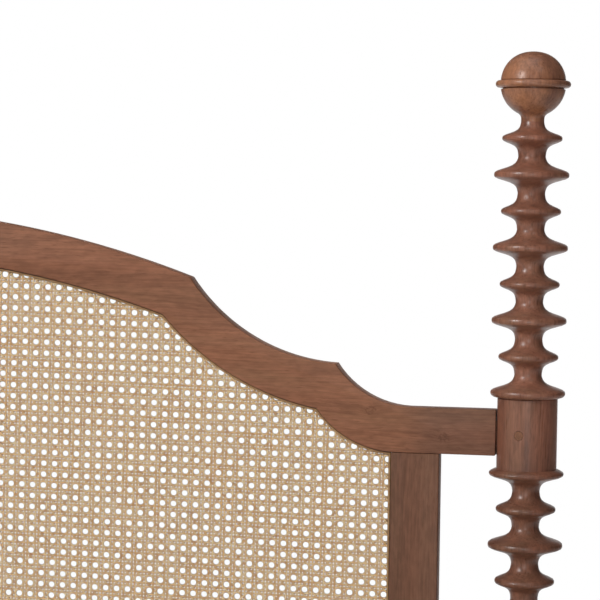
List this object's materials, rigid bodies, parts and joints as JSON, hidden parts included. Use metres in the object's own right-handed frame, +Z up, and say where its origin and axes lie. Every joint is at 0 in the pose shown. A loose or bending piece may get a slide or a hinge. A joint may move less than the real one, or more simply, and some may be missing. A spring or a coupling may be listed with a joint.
{
  "type": "four poster bed",
  "caption": "Four poster bed with ring-turned posts and ball finials, an arched cane headboard, low rails and a slatted base.",
  "frame": {"origin": "on the floor under the middle of the bed", "axes": "+Z up, +Y towards the head end, +X to the right seen from the foot end"},
  "size_m": [1.651, 2.21, 1.5385],
  "materials": {
    "walnut": "satin walnut stain",
    "plain_wood": "unfinished sawn softwood",
    "cane": "natural woven cane",
    "zinc_steel": "zinc plated",
    "black_steel": "black powder coat",
    "felt": "pressed felt",
    "tape": "woven cotton tape"
  },
  "bodies": {
    "bed_frame": {"cane_panel": "cane", "cane_spline": "cane", "centre_beam": "plain_wood", "foot_beam_hanger": "black_steel", "foot_centre_leg": "plain_wood", "foot_left_barrel_nut": "zinc_steel", "foot_left_bed_bolt": "zinc_steel", "foot_left_finial": "walnut", "foot_left_glide": "felt", "foot_left_post_lower": "walnut", "foot_left_post_upper": "walnut", "foot_rail": "walnut", "foot_right_barrel_nut": "zinc_steel", "foot_right_bed_bolt": "zinc_steel", "foot_right_finial": "walnut", "foot_right_glide": "felt", "foot_right_post_lower": "walnut", "foot_right_post_upper": "walnut", "head_beam_hanger": "black_steel", "head_centre_leg": "plain_wood", "head_left_barrel_nut": "zinc_steel", "head_left_bed_bolt": "zinc_steel", "head_left_crest_peg": "walnut", "head_left_finial": "walnut", "head_left_glide": "felt", "head_left_post_lower": "walnut", "head_left_post_upper": "walnut", "head_rail": "walnut", "head_right_barrel_nut": "zinc_steel", "head_right_bed_bolt": "zinc_steel", "head_right_crest_peg": "walnut", "head_right_finial": "walnut", "head_right_glide": "felt", "head_right_post_lower": "walnut", "head_right_post_upper": "walnut", "headboard_crest_rail": "walnut", "headboard_left_stile": "walnut", "headboard_panel_rail": "walnut", "headboard_right_stile": "walnut", "left_side_rail": "walnut", "left_slat_ledger": "plain_wood", "left_slat_tape": "tape", "right_side_rail": "walnut", "right_slat_ledger": "plain_wood", "right_slat_tape": "tape", "slat_01": "plain_wood", "slat_02": "plain_wood", "slat_03": "plain_wood", "slat_04": "plain_wood", "slat_05": "plain_wood", "slat_06": "plain_wood", "slat_07": "plain_wood", "slat_08": "plain_wood", "slat_09": "plain_wood", "slat_10": "plain_wood", "slat_11": "plain_wood", "slat_12": "plain_wood"},
    "head_leveller": {"head_leg_leveller": "black_steel"},
    "foot_leveller": {"foot_leg_leveller": "black_steel"}
  },
  "joints": [
    {"name": "head_leveller_screw", "type": "slide", "parent": "bed_frame", "child": "head_leveller", "axis": [0, 0, -1], "range_m": [0, 0.012]},
    {"name": "foot_leveller_screw", "type": "slide", "parent": "bed_frame", "child": "foot_leveller", "axis": [0, 0, -1], "range_m": [0, 0.012]}
  ]
}
